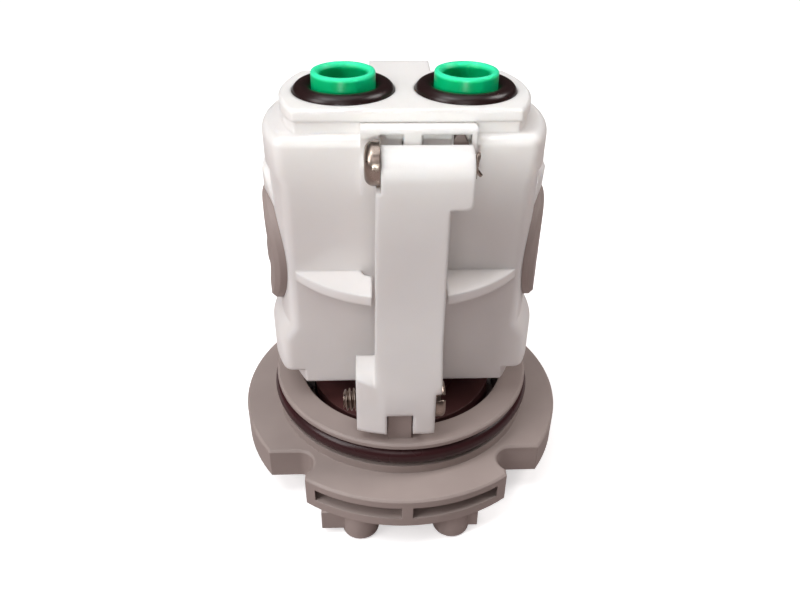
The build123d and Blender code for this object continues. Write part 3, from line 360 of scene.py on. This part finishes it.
def addCapHood(name, node, look):
    # the moulded brow that the housing grows over the top of each side cap
    middle, half = nodeBox(node)
    side = math.copysign(1, middle.x)
    spread, steps = math.radians(look["spread"]), look["steps"]
    inner = half.z + look["gap"]
    outer = inner + look["thin"]
    form = bmesh.new()
    root, near, far = look["rootX"], look["nearX"], look["farX"]
    section = ((root, inner), (near, inner), (near, outer), (root, outer))
    corners = outlineVerts(form, [(side * x, radius * math.sin(spread), radius * math.cos(spread))
                                  for x, radius in section])
    edges = [form.edges.new(pair) for pair in zip(corners, corners[1:] + corners[:1])]
    bmesh.ops.spin(form, geom=corners + edges, cent=(0, 0, 0), axis=(1, 0, 0), dvec=(0, 0, 0),
                   angle=2 * spread, steps=steps, use_merge=False)
    bmesh.ops.holes_fill(form, edges=[edge for edge in form.edges if edge.is_boundary], sides=0)
    # the even arch swells outwards and upwards towards its middle
    for vert in form.verts:
        around, radius = math.atan2(vert.co.y, vert.co.z), math.hypot(vert.co.y, vert.co.z) / mm
        share = min(1.0, (1 - abs(around) / spread) / look["taperShare"])
        if radius > (inner + outer) / 2:
            swell = share * share * (3 - 2 * share)
            vert.co.yz *= (outer + (look["thick"] - look["thin"]) * swell) / radius
        if abs(vert.co.x) / mm > (root + near) / 2:
            vert.co.x = side * (near + (far - near) * share) * mm
    bmesh.ops.recalc_face_normals(form, faces=form.faces)
    crisp = [edge for edge in form.edges if edge.calc_face_angle(0) > math.radians(look["crisp"])]
    roundEdges(form, crisp, look["soft"])
    bmesh.ops.translate(form, verts=form.verts, vec=Vector((0, middle.y, middle.z)) * mm)
    finishPiece(newPiece(name, form, look["sharp"]), bodyOfNode["valve_housing"], "white_plastic")


hoodLook = dict(gap=0.12, spread=46, steps=24, taperShare=0.75, thin=0.4, thick=4.7,
                rootX=18.5, nearX=21.2, farX=24.15, crisp=40, soft=0.3, sharp=35)
for sideName in ("left", "right"):
    addCapHood(sideName + "CapHood", sideName + "_spool_cap", hoodLook)
print("cap hoods moulded")


def addInletTube(name, node, look):
    # rim, bore, valve seat and chamber in one turning
    middle, half = nodeBox(node)
    rim, foot = middle.z + half.z, middle.z - half.z
    edge, (stepIn, stepDown) = look["rimEdge"], look["rimStep"]
    outer, bore, chamfer, stemHole = look["outer"], look["bore"], look["chamfer"], look["stemHole"]
    outline = [
        (stemHole, foot), (look["footRadius"], foot), (look["footRadius"], look["footTop"]),
        (outer, look["footTop"]), (outer, rim - edge), (outer - stepIn, rim - stepDown), (outer - edge, rim),
        (bore + chamfer, rim), (bore, rim - chamfer), (bore, look["seatTop"]),
        (look["seatRadius"], look["seatTop"]), (look["seatRadius"], look["chamberTop"]),
        (look["chamberRadius"], look["chamberTop"]), (look["chamberRadius"], look["chamberFloor"]),
        (stemHole, look["chamberFloor"]), (stemHole, foot),
    ]
    form = bmesh.new()
    turned(form, outline, look["steps"])
    bmesh.ops.translate(form, verts=form.verts, vec=(middle.x * mm, middle.y * mm, 0))
    finishPiece(newPiece(name, form, look["sharp"]), bodyOfNode[node], "green_plastic", node)


tubeLook = dict(rimEdge=0.35, rimStep=(0.12, 0.1), outer=5.28, bore=3.85, chamfer=0.7, stemHole=1.05,
                footRadius=6.1, footTop=73.1, seatTop=65.2, seatRadius=2.9, chamberTop=64.0,
                chamberRadius=4.9, chamberFloor=59.2, steps=96, sharp=30)
for sideName in ("left", "right"):
    addInletTube(sideName + "InletTube", sideName + "_inlet_capsule", tubeLook)
print("inlet tubes turned")


def headOutline(look):
    # a fastener's head, from its rim over its rounded edge to the middle of its crown
    radius, height, edge, rim = look["headRadius"], look["headHeight"], look["headEdge"], look["rimEdge"]
    rounded = arcPoints((radius - edge, height - edge - look["edgeDrop"]), edge, 0, look["edgeTurn"],
                        look["edgeSteps"])
    return ([(radius - rim, 0.0), (radius, rim)] + rounded
            + [(radius * look["flatShare"], height - look["flatDrop"]), (0, height)])


def addDomedPin(look):
    # rivet-like dome on the left, a plain shank to the right
    middle = nodeBox("upper_pivot_pin")[0]
    length, radius, taper = look["shank"], look["shankRadius"], look["taper"]
    shank = [(0, -length), (radius - taper, -length), (radius, taper - length), (radius, 0)]
    form = bmesh.new()
    turned(form, shank + headOutline(look), look["steps"])
    turnToX(form, -1, (look["seatX"], middle.y, middle.z))
    piece = newPiece("domedPin", form, look["sharp"])
    finishPiece(piece, bodyOfNode["upper_pivot_pin"], "steel", "upper_pivot_pin")


addDomedPin(dict(headRadius=3.36, headHeight=2.45, headEdge=1.4, rimEdge=0.12, edgeDrop=0.05, edgeTurn=80,
                 edgeSteps=10, flatShare=0.35, flatDrop=0.01, shankRadius=1.15, shank=14.75, taper=0.45,
                 steps=72, sharp=38, seatX=-4.35))


def addSplitPin(look):
    # one wire: closed in an eye above the pin, its two legs sprung apart below
    curve = bpy.data.curves.new("splitPin", "CURVE")
    curve.dimensions = "3D"
    curve.bevel_depth = look["wire"] * mm
    curve.bevel_resolution = 4
    curve.use_fill_caps = True
    line = curve.splines.new("NURBS")
    line.points.add(len(look["route"]) - 1)
    for point, corner in zip(line.points, look["route"]):
        point.co = [value * mm for value in corner] + [1]
    line.order_u = 3
    line.use_endpoint_u = True
    bent = bpy.data.objects.new("splitPinWire", curve)
    bpy.context.scene.collection.objects.link(bent)
    mesh = bakedMesh(bent)
    bpy.data.objects.remove(bent)
    mesh.transform(Matrix.Translation(Vector(look["place"]) * mm))
    piece = bpy.data.objects.new("splitPin", mesh)
    bpy.context.scene.collection.objects.link(piece)
    for face in mesh.polygons:
        face.use_smooth = True
    finishPiece(piece, bodyOfNode["split_pin"], "steel", "split_pin")


splitRoute = [(-0.08, -0.36, -2.25), (-0.06, -0.36, -1.9), (0.02, -0.34, -1.1), (0.02, -0.34, -0.3),
              (0, -0.4, 0.2), (-0.02, -0.8, 0.75), (0.08, -0.6, 1.35), (0.22, 0, 1.6), (0.4, 0.6, 1.35),
              (0.5, 0.8, 0.75), (0.25, 0.4, 0.2), (0.12, 0.34, -0.3), (0.16, 0.34, -1.1), (0.6, 0.36, -1.7),
              (0.95, 0.36, -2.15)]
addSplitPin(dict(wire=0.3, route=splitRoute, place=(10.08, -16.8, 69.0)))
print("upper pin and split pin made")


def addScrewThread(axis, look):
    # one pitch of the thread is spun as a helix, cut to length and drawn in towards its tip
    pitch, root, crest, steps = look["pitch"], look["root"], look["crest"], look["threadSteps"]
    tip, back = look["threadTip"], look["threadBack"]
    rise, top, fall = look["flanks"]
    outline = [(0, root), (pitch * rise, root), (pitch * top, crest), (pitch * fall, crest), (pitch, root)]
    form = bmesh.new()
    corners = outlineVerts(form, [(x, 0, radius) for x, radius in outline])
    edges = [form.edges.new(pair) for pair in zip(corners, corners[1:])]
    bmesh.ops.spin(form, geom=corners + edges, cent=(0, 0, 0), axis=(1, 0, 0),
                   dvec=(pitch * mm / steps, 0, 0), angle=math.tau * look["turns"],
                   steps=steps * look["turns"], use_merge=False)
    bmesh.ops.remove_doubles(form, verts=form.verts, dist=2 * mergeGap)
    bmesh.ops.translate(form, verts=form.verts, vec=((tip - pitch) * mm, 0, 0))
    for x, away in ((tip, (-1, 0, 0)), (back, (1, 0, 0))):
        bmesh.ops.bisect_plane(form, geom=form.verts[:] + form.edges[:] + form.faces[:],
                               plane_co=(x * mm, 0, 0), plane_no=away, clear_outer=True)
    bmesh.ops.holes_fill(form, edges=[edge for edge in form.edges if edge.is_boundary], sides=0)
    for vert in form.verts:
        lead = min(1.0, (vert.co.x / mm - tip) / look["lead"])
        vert.co.yz *= look["tipScale"] + (1 - look["tipScale"]) * lead
    bmesh.ops.translate(form, verts=form.verts, vec=Vector((0, *axis)) * mm)
    piece = newPiece("pivotScrewThread", form, look["threadSharp"])
    finishPiece(piece, bodyOfNode["lower_pivot_screw"], "steel")


def cutSlot(head, axis, look):
    # a bar twice as deep as the slot, and longer than the head is wide, lies across the crown
    bar = Vector((2 * look["slotDepth"], 4 * look["headRadius"], look["slotWidth"]))
    crown = Vector((look["seatX"] + look["headHeight"], *axis))
    form = bmesh.new()
    bmesh.ops.create_cube(form, size=1.0)
    bmesh.ops.scale(form, verts=form.verts, vec=bar * mm)
    bmesh.ops.rotate(form, verts=form.verts, cent=(0, 0, 0),
                     matrix=Matrix.Rotation(math.radians(look["slotTurn"]), 3, "X"))
    bmesh.ops.translate(form, verts=form.verts, vec=crown * mm)
    knife = newPiece("slotKnife", form, look["sharp"])
    cut = head.modifiers.new("slot", "BOOLEAN")
    cut.object = knife
    cut.solver = "EXACT"
    slotted = bakedMesh(head)
    head.modifiers.clear()
    head.data = slotted
    bpy.data.objects.remove(knife)


def addPivotScrew(look):
    # head and shank are turned, and the slot is cut last
    middle = nodeBox("lower_pivot_screw")[0]
    axis = (middle.y, middle.z)
    shank = [(0, -look["shank"]), (look["core"], -look["shank"]), (look["core"], 0)]
    form = bmesh.new()
    turned(form, shank + headOutline(look), look["steps"])
    turnToX(form, 1, (look["seatX"], *axis))
    head = newPiece("pivotScrew", form, look["sharp"])
    addScrewThread(axis, look)
    cutSlot(head, axis, look)
    finishPiece(head, bodyOfNode["lower_pivot_screw"], "steel", "lower_pivot_screw")


addPivotScrew(dict(headRadius=3.3, headHeight=1.9, headEdge=0.8, rimEdge=0.1, edgeDrop=0.04, edgeTurn=80,
                   edgeSteps=8, flatShare=0.3, flatDrop=0.0, shank=13.6, core=1.55, steps=64, sharp=38,
                   pitch=0.74, turns=5, root=1.42, crest=2.0, flanks=(0.1, 0.4, 0.62), threadSteps=48,
                   threadTip=-11.1, threadBack=-8.2, lead=0.7, tipScale=0.82, threadSharp=50,
                   slotWidth=0.9, slotDepth=0.95, slotTurn=-41, seatX=4.95))
print("pivot screw turned, threaded and slotted")


def smoothCopy(node, name, look):
    # the node's own shape, merged, with smooth curves and crisp corners
    mesh = frame["nodes"][node].data.copy()
    mesh.name = name
    piece = bpy.data.objects.new(name, mesh)
    bpy.context.scene.collection.objects.link(piece)
    form = bmesh.new()
    form.from_mesh(mesh)
    bmesh.ops.remove_doubles(form, verts=form.verts, dist=mergeGap)
    for face in form.faces:
        face.smooth = True
    sharpest = math.radians(look["sharp"])
    for edge in form.edges:
        edge.smooth = not edge.is_manifold or edge.calc_face_angle(0) < sharpest
    form.to_mesh(mesh)
    form.free()
    return finishPiece(piece, bodyOfNode[node], slotOfNode[node], node, finish=look["finish"].get(node))


def shortenSpring(piece):
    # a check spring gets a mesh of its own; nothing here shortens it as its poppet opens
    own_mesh(piece)


copyLook = dict(sharp=31, finish={"lever_arm": "soft_white"})
springLook = dict(travel=1.8, joint={"left_check_spring": "left_check_slide",
                                     "right_check_spring": "right_check_slide"})
replaced = {name for piece in bpy.data.objects for name in piece.get("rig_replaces", [])}
for node in bodyOfNode:
    if node not in replaced:
        piece = smoothCopy(node, node.title().replace("_", ""), copyLook)
        if node in springLook["joint"]:
            shortenSpring(piece)
print("nodes dressed")


def addFloor(look):
    # paper white to the eye, but a duller bounce back onto the object
    form = bmesh.new()
    bmesh.ops.create_grid(form, x_segments=2, y_segments=2, size=look["size"])
    mesh = bpy.data.meshes.new("floor")
    form.to_mesh(mesh)
    form.free()
    floor = bpy.data.objects.new("floor", mesh)
    bpy.context.scene.collection.objects.link(floor)
    material = bpy.data.materials.new("paleFloor")
    material.use_nodes = True
    tree = material.node_tree
    shader = tree.nodes["Principled BSDF"].inputs
    seen = cameraShare(tree)
    tree.links.new(blendNode(tree, seen, look["bounce"], look["colour"]), shader["Base Color"])
    lift = tree.nodes.new("ShaderNodeMath")
    lift.operation = "MULTIPLY"
    lift.inputs[1].default_value = look["lift"]
    tree.links.new(seen, lift.inputs[0])
    shader["Emission Color"].default_value = look["colour"]
    tree.links.new(lift.outputs["Value"], shader["Emission Strength"])
    shader["Roughness"].default_value = look["rough"]
    mesh.materials.append(material)


addFloor(dict(size=3.0, colour=(0.9, 0.89, 0.89, 1), bounce=(0.48, 0.41, 0.4, 1), lift=0.6, rough=0.9))


def addSoftbox(name, look):
    data = bpy.data.lights.new(name, "AREA")
    data.shape = "RECTANGLE"
    data.size, data.size_y = look["size"]
    data.energy = look["power"]
    data.color = look["colour"]
    if "spread" in look:
        data.spread = math.radians(look["spread"])
    light = bpy.data.objects.new(name, data)
    light.location = look["place"]
    light.rotation_mode = "QUATERNION"
    light.rotation_quaternion = (Vector(look["aim"]) - Vector(look["place"])).to_track_quat("-Z", "Y")
    bpy.context.scene.collection.objects.link(light)


# sizes and places in metres; the last has a grid, so that its beam meets only the top of the object
softboxes = {
    "overhead": dict(size=(0.8, 0.7), power=2.6, colour=(0.97, 0.99, 1.0), place=(-0.12, 0.06, 0.9),
                     aim=(0, 0.02, 0)),
    "high": dict(size=(0.35, 0.35), power=2.05, colour=(0.95, 0.99, 1.0), place=(-0.35, -0.15, 0.8),
                 aim=(0, 0, 0.05)),
    "left": dict(size=(0.3, 0.3), power=1.85, colour=(1.0, 0.98, 0.98), place=(-0.5, -0.26, 0.4),
                 aim=(0, 0, 0.04)),
    "front": dict(size=(0.4, 0.3), power=0.75, colour=(1.0, 0.97, 0.97), place=(-0.1, -0.6, 0.6),
                  aim=(0, 0, 0.05)),
    "right": dict(size=(0.3, 0.3), power=2.4, colour=(1.0, 0.97, 0.95), place=(0.5, 0.1, 0.6),
                  aim=(0, 0, 0.05)),
    "top": dict(size=(0.12, 0.06), power=0.0135, colour=(0.93, 1.0, 0.97), place=(-0.06, -0.46, 0.15),
                aim=(0, -0.02, 0.1), spread=5),
}
for lightName, lightLook in softboxes.items():
    addSoftbox(lightName, lightLook)
bpy.context.scene.view_settings.view_transform = "Standard"


def addBackdrop(look):
    # pale behind the object, dim and warm where it only lights it
    world = bpy.data.worlds.new("studio")
    world.use_nodes = True
    tree = world.node_tree
    colour = blendNode(tree, cameraShare(tree), look["dim"], look["pale"])
    tree.links.new(colour, tree.nodes["Background"].inputs["Color"])
    bpy.context.scene.world = world


addBackdrop(dict(dim=(0.04, 0.032, 0.031, 1), pale=(0.85, 0.84, 0.84, 1)))


def addCamera(look):
    yaw, pitch, roll = look["yaw"], look["pitch"], look["roll"]
    ahead = Vector((-math.sin(yaw) * math.cos(pitch), math.cos(yaw) * math.cos(pitch), -math.sin(pitch)))
    level = Vector((math.cos(yaw), math.sin(yaw), 0))
    above = level.cross(ahead)
    side = level * math.cos(roll) + above * math.sin(roll)
    top = -level * math.sin(roll) + above * math.cos(roll)
    data = bpy.data.cameras.new("viewer")
    data.lens = look["lens"]
    data.sensor_width = look["sensor"]
    camera = bpy.data.objects.new("viewer", data)
    bpy.context.scene.collection.objects.link(camera)
    place = Matrix((side, top, -ahead)).transposed().to_4x4()
    place.translation = Vector(look["place"]) * mm
    camera.matrix_world = place
    bpy.context.scene.camera = camera


addCamera(dict(place=(-5.79, -118.33, 112.37), yaw=-0.0458, pitch=0.5883, roll=0.0120,
               lens=32.68, sensor=36))
print("stage, light and camera set")
